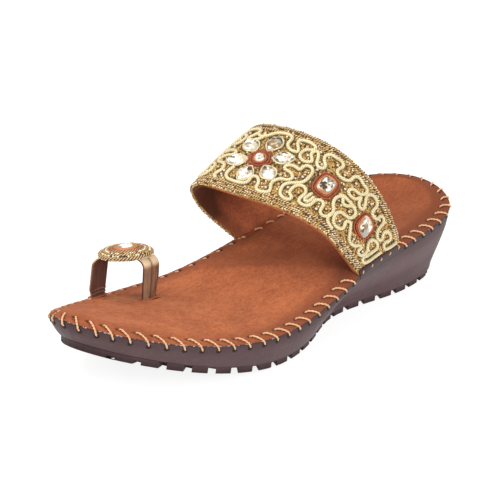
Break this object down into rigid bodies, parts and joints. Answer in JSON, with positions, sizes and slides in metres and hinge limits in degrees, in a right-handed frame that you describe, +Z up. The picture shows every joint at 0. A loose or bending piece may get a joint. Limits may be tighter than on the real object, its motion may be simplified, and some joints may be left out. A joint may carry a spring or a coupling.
{
  "type": "slip-on sandal",
  "caption": "Left slip-on sandal: moulded wedge sole, padded suede footbed with stitched edge, wide jewelled instep strap and a big-toe loop with a round medallion.",
  "frame": {"origin": "on the ground, in the middle of the box round the sandal as it stands", "axes": "+Z up, toe towards -Y, heel towards +Y, little-toe side towards +X"},
  "size_m": [0.0914, 0.2561, 0.0834],
  "materials": {
    "tread_rubber": "dark brown moulded rubber, matt",
    "wall_rubber": "plum-brown moulded polyurethane, satin",
    "suede": "rust-brown suede, napped",
    "gold_cloth": "gold metallic cloth over leather, embroidered",
    "bronze_leather": "bronze metallic leather, satin",
    "gold_beads": "gold beads, bright",
    "clear_stone": "clear cut stone on a bright foil back"
  },
  "bodies": {
    "root": {"outsole": "tread_rubber", "midsole": "wall_rubber", "insole": "suede", "instep_strap": "gold_cloth", "toe_loop": "bronze_leather", "toe_medallion": "gold_beads", "flower_crystal_centre": "clear_stone", "flower_petal_1": "clear_stone", "flower_petal_2": "clear_stone", "flower_petal_3": "clear_stone", "flower_petal_4": "clear_stone", "flower_petal_5": "clear_stone", "flower_petal_6": "clear_stone", "cushion_crystal_1": "clear_stone", "cushion_crystal_2": "clear_stone", "cushion_crystal_3": "clear_stone", "cushion_crystal_4": "clear_stone", "toe_crystal": "clear_stone"}
  },
  "joints": []
}
